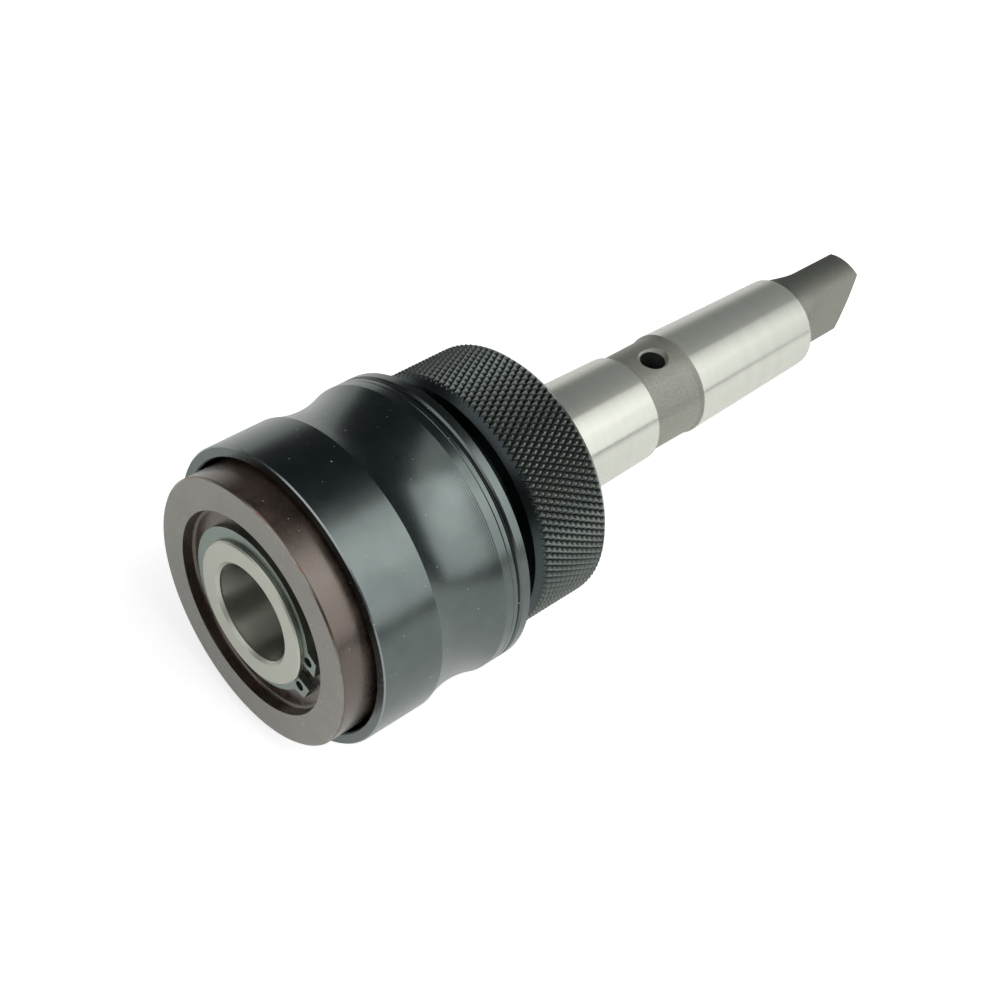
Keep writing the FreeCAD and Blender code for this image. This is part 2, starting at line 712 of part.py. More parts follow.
def release_sleeve():
    """Waisted black sleeve that the hand pulls back."""
    body = new_body("release_sleeve")
    outer = sleeve_radius
    edge = size("sleeve_edge")
    # Radius of the arc that spans the waist's length and reaches its depth.
    half = size("waist_length") / 2
    hollow = (half * half + size("waist_depth") * size("waist_depth")) / (size("waist_depth") * 2)
    seat = cam_outer + size("seat_gap")
    wire_floor = cam_outer + size("wire_dia") / 2
    turn(body, "sleeve", [
        (size("sleeve_front"), mouth_radius + edge),
        (size("sleeve_front"), outer - edge),
        (size("sleeve_front") + edge, outer),
        (waist_front, outer, (hollow, -1)),
        (waist_rear, outer),
        (sleeve_rear - size("joint_edge"), outer),
        (sleeve_rear, outer - size("joint_edge")),
        (sleeve_rear, spigot_bore),
        (web_rear, spigot_bore),
        (web_rear, seat),
        (wire_rear, seat),
        (wire_rear, wire_floor),
        (cam_rear, wire_floor),
        (cam_rear, seat),
        (cam_front, seat),
        (cam_front, cam_outer - size("lip_height")),
        (web_front, cam_outer - size("lip_height")),
        (web_front, mouth_radius),
        (size("sleeve_front") + edge, mouth_radius),
    ])
    return body


def end_ring():
    """Ring screwed into the sleeve's rear, with the wire groove and the guide pins' holes."""
    body = new_body("sleeve_end_ring")
    outer = sleeve_radius
    edge = size("end_edge")
    front = sleeve_rear + size("seat_gap")
    groove_floor = outer - size("wire_groove")
    spigot = spigot_bore - size("seat_gap")
    bore = hub_radius + size("run_gap")
    turn(body, "end", [
        (web_rear + size("rest_gap"), bore),
        (web_rear + size("rest_gap"), spigot),
        (front, spigot),
        (front, outer - size("joint_edge")),
        (front + size("joint_edge"), outer),
        (groove_front, outer),
        (groove_front, groove_floor),
        (groove_rear, groove_floor),
        (groove_rear, outer - size("groove_bevel")),
        (groove_rear + size("groove_bevel"), outer),
        (end_rear - edge, outer),
        (end_rear, outer - edge),
        (end_rear, bore),
    ])
    hole = new_sketch(body, "pin_hole_outline", angle=size("pin_turn"))
    draw_circle(hole, pin_middle, ZERO, radius("pin_dia") + size("seat_gap"))
    first = pocket(body, "pin_hole", hole, outer, reverse=True)
    pattern_round(body, "pin_holes", [first], size("pin_count"))
    return body


def guide_pins():
    """Dowel pins through the end ring, whose inner ends run in the hub's slots."""
    body = new_body("guide_pins")
    top = sleeve_radius - size("wire_groove") - size("side_gap")
    sketch = new_sketch(body, "pin_outline", offset=pin_reach, angle=size("pin_turn"))
    draw_circle(sketch, pin_middle, ZERO, radius("pin_dia"))
    first = pad(body, "pin", sketch, top - pin_reach)
    pattern = body.newObject("PartDesign::PolarPattern", "pins")
    pattern.Originals = [first]
    pattern.Axis = (origin_part(body, "X_Axis"), [""])
    pattern.Angle = 360
    pattern.setExpression("Occurrences", size("pin_count").text)
    body.Tip = pattern
    body.AllowCompound = True
    doc.recompute()
    return body


def cam_ring():
    """Hardened ring whose cone presses the lock keys in."""
    body = new_body("cam_ring")
    edge = size("edge_break")
    front_radius = cam_radius + (size("key_middle") - cam_front) * cam_slope
    turn(body, "cam", [
        (cam_front, front_radius),
        (cam_front, cam_outer - edge),
        (cam_front + edge, cam_outer),
        (cam_rear - edge, cam_outer),
        (cam_rear, cam_outer - edge),
        (cam_rear, land_radius),
        (land_front, land_radius),
    ])
    return body


def lock_key(label, angle):
    """Stepped key with a domed head, free to slide in its window."""
    body = new_body(label)
    edge = size("edge_break")
    middle = size("key_middle")
    side = middle + radius("key_dia")
    head = middle + radius("key_head")
    dome = size("key_dome")
    drop = dome - square_root(dome * dome - radius("key_head") * radius("key_head"))
    turn_upright(body, label + "_solid", middle, [
        (middle, key_reach),
        (side - edge, key_reach),
        (side, key_reach + edge),
        (side, key_shoulder),
        (head, key_shoulder),
        (head, key_top - drop, (dome, -1)),
        (middle, key_top),
    ])
    turn_about_axis(body, angle)
    return body


def spring_seat_washer():
    """Flat washer on the floor of the hub's spring pocket."""
    body = new_body("spring_seat_washer")
    turn(body, "washer", box_corners(
        washer_front, pocket_floor - size("run_gap") / 2,
        tube_radius + size("rest_gap"), pocket_radius - size("rest_gap"),
    ))
    return body


def coil_spring(label, front, rear, mean_radius, wire, turns):
    """Compression spring of round wire with both ends ground flat."""
    body = new_body(label)
    section = new_sketch(body, label + "_wire")
    draw_circle(section, front, mean_radius, wire / 2)
    coil = body.newObject("PartDesign::AdditiveHelix", label + "_coil")
    coil.Profile = section
    coil.ReferenceAxis = (section, ["H_Axis"])
    coil.Mode = "height-turns-angle"
    coil.setExpression("Height", (rear - front).text)
    coil.setExpression("Turns", turns.text)
    doc.recompute()
    inner = mean_radius - wire
    outer = mean_radius + wire
    groove(body, label + "_front_end", box_corners(front - wire, front + size("run_gap") / 2, inner, outer))
    groove(body, label + "_rear_end", box_corners(rear - size("run_gap") / 2, rear + wire, inner, outer))
    return body


def knurled_collar():
    """Collar behind the sleeve, with a counterbore for its circlip and a keyway in its bore."""
    body = new_body("knurled_collar")
    front = collar_front
    outer = radius("collar_dia")
    run = size("collar_bevel_run")
    rise = size("collar_bevel_rise")
    bore = seat_radius + size("seat_gap")
    turn(body, "collar", [
        (front, bore),
        (front, outer - rise),
        (front + run, outer),
        (collar_rear - run, outer),
        (collar_rear, outer - rise),
        (collar_rear, counterbore_radius),
        (recess_floor, counterbore_radius),
        (recess_floor, bore),
    ])
    start = seat_radius - 1
    keyway = new_sketch(body, "collar_keyway_outline", offset=ZERO - start)
    draw_outline(keyway, [
        (front - 1, ZERO - drive_key_half),
        (recess_floor + 1, ZERO - drive_key_half),
        (recess_floor + 1, drive_key_half),
        (front - 1, drive_key_half),
    ])
    pocket(body, "collar_keyway", keyway, drive_key_top + size("rest_gap") - start)
    return body


def drive_key():
    """Parallel key that keeps the collar from turning on its seat."""
    body = new_body("collar_key")
    half = size("drive_key_width") / 2
    start = drive_key_start + size("side_gap")
    end = drive_key_end - size("side_gap")
    sketch = new_sketch(body, "collar_key_outline", offset=ZERO - drive_key_top)
    draw_outline(sketch, [
        (start, ZERO - half),
        (end, ZERO - half),
        (end, half),
        (start, half),
    ])
    pad(body, "collar_key_block", sketch, size("drive_key_width") - size("seat_gap"))
    return body


def plunger_bush():
    """Bush that guides the plunger's stem and stops its piston."""
    body = new_body("plunger_bush")
    edge = size("edge_break")
    bore = radius("stem_dia") + size("run_gap")
    outer = bush_radius - size("seat_gap")
    turn(body, "bush", [
        (bush_front, bore + edge),
        (bush_front, outer - edge),
        (bush_front + edge, outer),
        (bush_rear, outer),
        (bush_rear, bore),
        (bush_front + edge, bore),
    ])
    return body


def ejector_plunger():
    """Sprung plunger that meets the cutter's shank and carries the coolant through its middle."""
    body = new_body("ejector_plunger")
    edge = size("edge_break")
    duct = radius("plunger_duct")
    stem = radius("stem_dia")
    piston = radius("guide_dia") - size("run_gap")
    half = size("plunger_seal") / 2 + size("side_gap")
    floor = radius("guide_dia") - size("plunger_seal") - size("side_gap") * 2
    front = size("socket_depth") - size("stem_stand")
    turn(body, "plunger", [
        (front, duct),
        (front, stem - edge * 2),
        (front + edge * 2, stem),
        (piston_front, stem),
        (piston_front, piston),
        (piston_middle - half, piston),
        (piston_middle - half, floor),
        (piston_middle + half, floor),
        (piston_middle + half, piston),
        (piston_rear, piston),
        (piston_rear, duct),
    ])
    return body


def build():
    shaft_body()
    front_ring()
    clip_floor = nose_radius - size("clip_depth")
    retaining_ring("nose_circlip", size("clip_inset"), clip_floor, size("clip_turn"))
    wiper_radius = mouth_radius - size("wiper_section") / 2 - size("side_gap")
    wiper_middle = size("ring_length") - size("wiper_inset")
    round_ring("front_wiper_ring", wiper_middle, wiper_radius, size("wiper_section"))
    seal_radius = radius("socket_dia") + size("seal_depth") - size("seal_section") / 2
    seal_middle = size("seal_start") + size("seal_width") / 2
    round_ring("socket_seal_ring", seal_middle, seal_radius - size("seat_gap"), size("seal_section"))
    spring_seat_washer()
    knurled_collar()
    drive_key()
    seat_floor = seat_radius - size("clip_depth")
    retaining_ring("collar_circlip", recess_floor, seat_floor, ZERO)
    plunger_bush()
    half_wire = size("wire_dia") / 2
    bush_ring_radius = bush_radius + size("wire_dia") / 3 - half_wire - size("seat_gap")
    bush_ring_middle = bush_front - half_wire - size("side_gap")
    open_wire_ring(
        "bush_snap_ring", bush_ring_middle, bush_ring_radius,
        size("wire_dia"), size("wire_gap") * 3, ZERO,
    )
    coil_spring(
        "return_spring", cam_rear, washer_front,
        (tube_radius + pocket_radius) / 2, size("return_wire"), size("return_turns"),
    )
    coil_spring(
        "ejector_spring", piston_rear, guide_floor,
        (radius("guide_dia") + radius("duct_dia")) / 2,
        size("ejector_wire"), size("ejector_turns"),
    )

    release_sleeve()
    end_ring()
    guide_pins()
    cam_ring()
    cam_wire_radius = cam_outer - size("seat_gap")
    open_wire_ring(
        "cam_ring_snap_wire", cam_rear + half_wire + size("side_gap") / 2,
        cam_wire_radius, size("wire_dia"), size("wire_gap") * 5, ZERO,
    )
    open_wire_ring(
        "wire_snap_ring", pin_middle, sleeve_radius - radius("ring_wire") - size("side_gap"),
        size("ring_wire"), size("wire_gap"), size("wire_turn"),
    )

    lock_key("lock_key_1", ZERO)
    lock_key("lock_key_2", size("key_turn"))
    ejector_plunger()
    seal_centre = radius("guide_dia") - size("plunger_seal") / 2 - size("side_gap")
    round_ring(
        "plunger_seal_ring", piston_middle, seal_centre, size("plunger_seal"),
    )


def check_document():
    """Stops with the names of every object that failed to compute."""
    failed = [item.Label for item in doc.Objects if {"Invalid", "Error"} & set(item.State)]
    if failed:
        raise RuntimeError("not computed: " + ", ".join(failed))


def write_parts():
    """Writes each body to a file of its own name."""
    os.makedirs("parts", exist_ok=True)
    for body in doc.findObjects("PartDesign::Body"):
        shape = body.Shape
        if shape.isNull() or not shape.isValid() or not shape.Solids:
            raise RuntimeError(body.Label + " has no valid solid")
        shape.exportStep(os.path.join("parts", body.Label + ".step"))
        box = shape.BoundBox
        print(f"{body.Label:20} solids {len(shape.Solids)}  volume {shape.Volume:9.1f}  "
              f"x {box.XMin:7.2f} to {box.XMax:7.2f}")


build()
doc.recompute()
check_document()
write_parts()
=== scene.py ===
import math

import bmesh
import bpy
from mathutils import Matrix, Vector


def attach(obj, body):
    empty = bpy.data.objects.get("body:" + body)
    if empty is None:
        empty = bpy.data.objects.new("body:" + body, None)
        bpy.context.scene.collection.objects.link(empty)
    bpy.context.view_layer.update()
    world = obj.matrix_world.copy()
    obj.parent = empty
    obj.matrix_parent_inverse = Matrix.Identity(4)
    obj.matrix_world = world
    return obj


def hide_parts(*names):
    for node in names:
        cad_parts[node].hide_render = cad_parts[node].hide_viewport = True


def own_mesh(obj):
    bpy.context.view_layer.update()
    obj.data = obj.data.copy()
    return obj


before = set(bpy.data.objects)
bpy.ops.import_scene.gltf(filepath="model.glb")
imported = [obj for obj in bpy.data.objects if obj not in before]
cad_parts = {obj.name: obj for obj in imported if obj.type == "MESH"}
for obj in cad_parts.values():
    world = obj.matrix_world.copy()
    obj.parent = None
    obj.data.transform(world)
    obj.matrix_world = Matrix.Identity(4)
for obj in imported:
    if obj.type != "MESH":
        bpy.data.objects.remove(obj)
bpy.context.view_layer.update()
print("frame loaded:", len(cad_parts), "nodes")

mm = 0.001  # everything below is written in millimetres and stored in metres
weldDistance = 0.001 * mm
noiseSpan = {"From Min": 0.3, "From Max": 0.7}  # a noise seldom leaves this range
streakRadius = 20.0  # distance from the axis at which a streak has its given length


# sRGB hex, as picked in an image editor, to the linear colour that a shader wants
def linearColour(hexText):
    colour = []
    for start in (1, 3, 5):
        value = int(hexText[start:start + 2], 16) / 255
        colour.append(value / 12.92 if value <= 0.04045 else ((value + 0.055) / 1.055) ** 2.4)
    return (*colour, 1.0)


# adds one node, sets what it is told and wires what it is given. Sockets 2 and 3 of a Mix node
# are its two values, and 6 and 7 its two colours.
def addNode(tree, kind, sockets=None, **settings):
    node = tree.nodes.new("ShaderNode" + kind)
    for name, value in settings.items():
        setattr(node, name, value)
    for socket, value in (sockets or {}).items():
        if isinstance(value, bpy.types.NodeSocket):
            tree.links.new(value, node.inputs[socket])
        else:
            node.inputs[socket].default_value = value
    return node


# an empty material and its node tree
def newMaterial(name):
    material = bpy.data.materials.new(name)
    material.use_nodes = True
    material.node_tree.nodes.clear()
    return material, material.node_tree


# where a point lies on a turned part: along the axis, out from it, and the two added up,
# which runs across the tool marks on a barrel and on an end face alike
def latheCoordinates(tree):
    place = addNode(tree, "TexCoord").outputs["Object"]
    split = addNode(tree, "SeparateXYZ", {0: place})
    flat = addNode(tree, "CombineXYZ", {1: split.outputs["Y"], 2: split.outputs["Z"]})
    out = addNode(tree, "VectorMath", {0: flat.outputs[0]}, operation="LENGTH").outputs["Value"]
    feed = addNode(tree, "Math", {0: split.outputs["X"], 1: out}, operation="ADD").outputs[0]
    around = addNode(tree, "VectorMath", {0: flat.outputs[0]}, operation="NORMALIZE").outputs[0]
    return {"place": place, "x": split.outputs["X"], "out": out, "feed": feed, "around": around}


# streaks that run round the axis: width across them and length round it, both in millimetres
def turnedStreaks(tree, lathe, width, length, detail=2.0):
    across = addNode(tree, "Math", {0: lathe["feed"], 1: 1 / (width * mm)}, operation="MULTIPLY").outputs[0]
    along = addNode(tree, "VectorMath", {
        0: lathe["around"], "Scale": streakRadius / length,
    }, operation="SCALE").outputs[0]
    shift = addNode(tree, "CombineXYZ", {0: across}).outputs[0]
    where = addNode(tree, "VectorMath", {0: along, 1: shift}, operation="ADD").outputs[0]
    return addNode(tree, "TexNoise", {"Vector": where, "Scale": 1.0, "Detail": detail}).outputs[0]


# 1 where a measure lies between two limits in millimetres and 0 elsewhere
def limitMask(tree, measure, start, end):
    above = addNode(tree, "Math", {0: measure, 1: start * mm}, operation="GREATER_THAN").outputs[0]
    below = addNode(tree, "Math", {0: measure, 1: end * mm}, operation="LESS_THAN").outputs[0]
    return addNode(tree, "Math", {0: above, 1: below}, operation="MULTIPLY").outputs[0]


# 1 inside a round hole that runs out from the part's axis, and 0 elsewhere
def holeMask(tree, place, x, degrees, radius):
    aim = Vector((0, -math.sin(math.radians(degrees)), math.cos(math.radians(degrees))))
    fromFoot = addNode(tree, "VectorMath", {0: place, 1: (x * mm, 0, 0)}, operation="SUBTRACT").outputs[0]
    across = addNode(tree, "VectorMath", {0: fromFoot, 1: aim}, operation="CROSS_PRODUCT").outputs[0]
    off = addNode(tree, "VectorMath", {0: across}, operation="LENGTH").outputs["Value"]
    up = addNode(tree, "VectorMath", {0: fromFoot, 1: aim}, operation="DOT_PRODUCT").outputs["Value"]
    inHole = limitMask(tree, off, -1.0, radius)
    openSide = addNode(tree, "Math", {0: up, 1: 0.0}, operation="GREATER_THAN").outputs[0]
    return addNode(tree, "Math", {0: inHole, 1: openSide}, operation="MULTIPLY").outputs[0]


# the small pale dust specks of a workshop part, as a mask: half of the cells hold one, of any size
# up to a share of the distance between the cells
def dustSpecks(tree, place, apart, share):
    cells = addNode(tree, "TexVoronoi", {"Vector": place, "Scale": 1 / (apart * mm)}, feature="F1")
    chance = addNode(tree, "SeparateXYZ", {0: cells.outputs["Color"]}).outputs["X"]
    reach = addNode(tree, "Math", {0: chance, 1: 2 * share, 2: -share}, operation="MULTIPLY_ADD").outputs[0]
    return addNode(tree, "Math", {0: cells.outputs["Distance"], 1: reach}, operation="LESS_THAN").outputs[0]


# camera at the photograph's angle
camera = {
    "lens": 63.226,
    "place": (-124.688, -141.391, 245.629),
    "right": (0.733675, -0.657437, 0.171748),
    "up": (0.413453, 0.632504, 0.654977),
}
cameraData = bpy.data.cameras.new("camera")
cameraData.lens = camera["lens"]
cameraData.sensor_width = 36.0
cameraObject = bpy.data.objects.new("camera", cameraData)
right = Vector(camera["right"]).normalized()
upward = Vector(camera["up"])
upward = (upward - right * upward.dot(right)).normalized()
backward = right.cross(upward)
turn = Matrix((right, upward, backward)).transposed().to_4x4()
cameraObject.matrix_world = Matrix.Translation(Vector(camera["place"]) * mm) @ turn
bpy.context.scene.collection.objects.link(cameraObject)
bpy.context.scene.camera = cameraObject
bpy.context.scene.view_settings.view_transform = "Standard"
print("camera set")


# studio: white floor, dim room and soft boxes. Each box is given by its azimuth and height in
# degrees, how far it is rolled, its size, and how bright its cloth is, where 1 is white
studio = {
    "floorDrop": 29.25,        # the sleeve rests on the floor
    "floorSize": 6000.0,
    "floorGlow": 0.70,         # share of the white that the object's shadow doesn't take
    "farGlow": 1.0,            # the same far from the object, beyond the lamps' reach
    "farFrom": (500.0, 1500.0),
    "mirroredGlow": 0.35,      # the same, as the metal mirrors it
    "floorWhite": "#f4f4f2",
    "roomStrength": 0.07,
    "roomTint": "#dceaf4",
    "paperAzimuth": 37.0,      # where the camera looks
    "paperTop": (0.0, 0.15),   # sine of the height at which the paper ends
    "paperSide": (0.55, 0.75),
    "aim": (70.0, 0.0, 0.0),
    "boxDistance": 1500.0,
    "boxes": {
        "mainBox": {
            "direction": (-62.0, 42.0), "roll": -15.0, "size": (1580.0, 2000.0), "brightness": 1.62,
        },
        "spotBox": {
            "direction": (-58.0, 50.0), "roll": 0.0, "size": (700.0, 700.0), "brightness": 0.62,
        },
        "sideBox": {
            "direction": (170.0, 28.0), "roll": 0.0, "size": (1560.0, 900.0), "brightness": 1.15,
        },
        "ceilingBox": {
            "direction": (-120.0, 82.0), "roll": 0.0, "size": (1300.0, 1300.0), "brightness": 0.72,
        },
    },
}


# the rays that come from the camera, and those that metal or glass turns towards the studio
def rayKinds(tree):
    rays = addNode(tree, "LightPath")
    mirrored = addNode(tree, "Math", {
        0: rays.outputs["Is Glossy Ray"], 1: rays.outputs["Is Transmission Ray"],
    }, operation="MAXIMUM").outputs[0]
    return rays.outputs["Is Camera Ray"], mirrored


def makeFloor():
    builder = bmesh.new()
    bmesh.ops.create_grid(builder, x_segments=1, y_segments=1, size=studio["floorSize"] * mm / 2)
    bmesh.ops.translate(builder, verts=builder.verts, vec=(0, 0, -studio["floorDrop"] * mm))
    mesh = bpy.data.meshes.new("floor")
    builder.to_mesh(mesh)
    builder.free()
    floor = bpy.data.objects.new("floor", mesh)
    bpy.context.scene.collection.objects.link(floor)
    material, tree = newMaterial("paperSweep")
    seen, mirrored = rayKinds(tree)
    glowMirrored = addNode(tree, "Math", {
        0: mirrored, 1: studio["mirroredGlow"],
    }, operation="MULTIPLY").outputs[0]
    place = addNode(tree, "TexCoord").outputs["Object"]
    away = addNode(tree, "VectorMath", {0: place}, operation="LENGTH").outputs["Value"]
    near, far = (distance * mm for distance in studio["farFrom"])
    glowSeen = addNode(tree, "MapRange", {
        "Value": away, "From Min": near, "From Max": far,
        "To Min": studio["floorGlow"], "To Max": studio["farGlow"],
    }).outputs[0]
    strength = addNode(tree, "Math", {
        0: seen, 1: glowSeen, 2: glowMirrored,
    }, operation="MULTIPLY_ADD").outputs[0]
    paper = addNode(tree, "BsdfDiffuse", {"Color": linearColour(studio["floorWhite"])})
    glow = addNode(tree, "Emission", {"Strength": strength})
    lit = addNode(tree, "AddShader", {0: paper.outputs[0], 1: glow.outputs[0]})
    addNode(tree, "OutputMaterial", {0: lit.outputs[0]})
    mesh.materials.append(material)


def makeRoom():
    world = bpy.data.worlds.new("studioRoom")
    bpy.context.scene.world = world
    world.use_nodes = True
    tree = world.node_tree
    tree.nodes.clear()
    seen, mirrored = rayKinds(tree)

    # the sheet of paper behind the object, up to its height and as wide as its two side edges
    direction = addNode(tree, "TexCoord").outputs["Generated"]
    height = addNode(tree, "SeparateXYZ", {0: direction}).outputs["Z"]
    azimuth = math.radians(studio["paperAzimuth"])
    behind = addNode(tree, "VectorMath", {
        0: direction, 1: (math.cos(azimuth), math.sin(azimuth), 0),
    }, operation="DOT_PRODUCT").outputs["Value"]
    low, high = studio["paperTop"]
    below = addNode(tree, "MapRange", {
        "Value": height, "From Min": low, "From Max": high, "To Min": 1.0, "To Max": 0.0,
    }).outputs[0]
    low, high = studio["paperSide"]
    inside = addNode(tree, "MapRange", {"Value": behind, "From Min": low, "From Max": high}).outputs[0]
    paper = addNode(tree, "Math", {0: below, 1: inside}, operation="MULTIPLY").outputs[0]
    white = addNode(tree, "Math", {
        0: mirrored, 1: paper, 2: seen,
    }, operation="MULTIPLY_ADD", use_clamp=True).outputs[0]
    room = addNode(tree, "Background", {
        "Color": linearColour(studio["roomTint"]), "Strength": studio["roomStrength"],
    })
    bright = addNode(tree, "Background", {"Color": linearColour("#ffffff"), "Strength": 1.0})
    shown = addNode(tree, "MixShader", {0: white, 1: room.outputs[0], 2: bright.outputs[0]})
    addNode(tree, "OutputWorld", {0: shown.outputs[0]})


def addSoftBox(name, direction, roll, size, brightness):
    azimuth, height = (math.radians(angle) for angle in direction)
    outward = Vector((
        math.cos(height) * math.cos(azimuth),
        math.cos(height) * math.sin(azimuth),
        math.sin(height),
    ))
    lamp = bpy.data.lights.new(name, "AREA")
    lamp.shape = "RECTANGLE"
    lamp.size = size[0] * mm
    lamp.size_y = size[1] * mm
    lamp.energy = brightness * math.pi * size[0] * size[1] * mm * mm
    box = bpy.data.objects.new(name, lamp)
    box.location = (Vector(studio["aim"]) + outward * studio["boxDistance"]) * mm
    facing = (-outward).to_track_quat("-Z", "Y").to_matrix()
    box.rotation_euler = (facing @ Matrix.Rotation(math.radians(roll), 3, "Z")).to_euler()
    bpy.context.scene.collection.objects.link(box)


makeFloor()
makeRoom()
for boxName, box in studio["boxes"].items():
    addSoftBox(boxName, **box)
print("studio set")


# Body: hardened alloy steel. The socket and the taper are ground round, so fine streaks run round
# them and stretch highlights along the axis. The nose's face is turned, the hub is coloured near-black, and
# the coolant groove and the tang are as turned and milled, without any finish, and look a dull grey.
arborLook = {
    "groundPale": "#e2e4d8",
    "groundDark": "#dcded2",
    "groundRoughness": (0.22, 0.27),
    "groundMetal": 0.6,          # open wheel marks scatter part of the light
    "groundStretch": 0.9,        # how much further a highlight spreads across the wheel marks
    "grindWidth": 0.10,          # wheel marks are about 0.02 wide, drawn coarser so that they show
    "grindLength": 30.0,
    "grindDepth": 0.0006,
    "wideWidth": 2.4,            # the slow change of shade along the taper
    "wideLength": 400.0,
    "face": (-1.0, 1.0),         # the nose's end along the axis, with its chamfers
    "facePale": "#c0c2b6",
    "faceRoughness": 0.42,       # turned, not ground
    "faceStretch": 0.2,
    "socket": (1.0, 40.0),
    "socketRadius": 9.75,
    "socketPale": "#c6c7bc",     # honed; coloured darker than the taper as painted shade inside the bore
    "socketRoughness": (0.30, 0.38),
    "socketStretch": 1.0,
    "rawPale": "#b9baaf",
    "rawDark": "#9d9e93",
    "tangPale": "#a8a99f",
    "tangDark": "#97988e",
    "rawGrain": 0.35,            # coarser than the real grain, so that it shows
    "rawDepth": 0.008,
    "rawRoughness": (0.50, 0.58),
    "grooveMetal": 0.5,          # the dull skin scatters part of the light
    "tangMetal": 0.85,
    "blackPale": "#41484a",
    "blackDark": "#33393b",
    "hub": (30.0, 61.8),
    "grooveBand": (92.22, 106.03),
    "tangBand": (140.85, 170.0),
    "port": (99.5, -3.5, 2.6),   # place along the axis, degrees from +Z and radius
    # painted shade: the coolant port's inside is coloured dark
    "portPaintedShade": "#3f4441",
}


def makeArborMaterial():
    material, tree = newMaterial("groundAlloySteel")
    lathe = latheCoordinates(tree)
    fine = turnedStreaks(tree, lathe, arborLook["grindWidth"], arborLook["grindLength"], 3.0)
    wide = turnedStreaks(tree, lathe, arborLook["wideWidth"], arborLook["wideLength"])
    grain = addNode(tree, "TexNoise", {
        "Vector": lathe["place"], "Scale": 1 / (arborLook["rawGrain"] * mm), "Detail": 3.0,
    }).outputs[0]
    polish = addNode(tree, "MapRange", {"Value": fine, **noiseSpan}).outputs[0]
    shade = addNode(tree, "MapRange", {"Value": wide, **noiseSpan}).outputs[0]
    speckle = addNode(tree, "MapRange", {"Value": grain, **noiseSpan}).outputs[0]

    # where each surface of the body lies
    nose = limitMask(tree, lathe["x"], *arborLook["face"])
    hub = limitMask(tree, lathe["x"], *arborLook["hub"])
    groove = limitMask(tree, lathe["x"], *arborLook["grooveBand"])
    tang = limitMask(tree, lathe["x"], *arborLook["tangBand"])
    raw = addNode(tree, "Math", {0: groove, 1: tang}, operation="MAXIMUM").outputs[0]
    port = holeMask(tree, lathe["place"], *arborLook["port"])
    nearAxis = limitMask(tree, lathe["out"], -1.0, arborLook["socketRadius"])
    pastFace = limitMask(tree, lathe["x"], *arborLook["socket"])
    socket = addNode(tree, "Math", {0: nearAxis, 1: pastFace}, operation="MULTIPLY").outputs[0]

    # colours of the finishes, laid over the ground steel, with painted shade in the socket and in the
    # coolant port
    finish = {}
    for name, pattern in (("ground", shade), ("raw", speckle), ("tang", speckle), ("black", speckle)):
        finish[name] = addNode(tree, "Mix", {
            0: pattern, 6: linearColour(arborLook[name + "Dark"]), 7: linearColour(arborLook[name + "Pale"]),
        }, data_type="RGBA").outputs[2]
    colour = finish["ground"]
    for mask, layer in (
        # painted shade: the socket is coloured darker than the taper
        (nose, linearColour(arborLook["facePale"])), (socket, linearColour(arborLook["socketPale"])),
        (groove, finish["raw"]), (tang, finish["tang"]), (hub, finish["black"]),
        # painted shade inside the coolant port
        (port, linearColour(arborLook["portPaintedShade"])),
    ):
        colour = addNode(tree, "Mix", {0: mask, 6: colour, 7: layer}, data_type="RGBA").outputs[2]

    metal = arborLook["groundMetal"]
    for mask, share in (
        (nose, 1.0), (socket, 1.0), (hub, 1.0),
        (groove, arborLook["grooveMetal"]), (tang, arborLook["tangMetal"]),
    ):
        metal = addNode(tree, "Mix", {0: mask, 2: metal, 3: share}).outputs[0]

    dull = {}
    for name, pattern in (("ground", polish), ("socket", polish), ("raw", speckle)):
        low, high = arborLook[name + "Roughness"]
        dull[name] = addNode(tree, "Mix", {0: pattern, 2: low, 3: high}).outputs[0]
    roughness = dull["ground"]
    for mask, layer in ((nose, arborLook["faceRoughness"]), (socket, dull["socket"]), (raw, dull["raw"])):
        roughness = addNode(tree, "Mix", {0: mask, 2: roughness, 3: layer}).outputs[0]

    stretch = arborLook["groundStretch"]
    for mask, share in ((nose, arborLook["faceStretch"]), (socket, arborLook["socketStretch"])):
        stretch = addNode(tree, "Mix", {0: mask, 2: stretch, 3: share}).outputs[0]

    marks = addNode(tree, "Mix", {0: raw, 2: fine, 3: grain}).outputs[0]
    depth = addNode(tree, "Mix", {
        0: raw, 2: arborLook["grindDepth"] * mm, 3: arborLook["rawDepth"] * mm,
    }).outputs[0]
    bump = addNode(tree, "Bump", {"Height": marks, "Distance": depth, "Strength": 0.5})
    tangent = addNode(tree, "Tangent", direction_type="RADIAL", axis="X")
    shader = addNode(tree, "BsdfPrincipled", {
        "Base Color": colour, "Metallic": metal, "Roughness": roughness, "Normal": bump.outputs[0],
        "Anisotropic": stretch, "Tangent": tangent.outputs[0],
        "Anisotropic Rotation": 0.25,  # a quarter turn, so that highlights spread along the axis
    })
    addNode(tree, "OutputMaterial", {0: shader.outputs[0]})
    return material


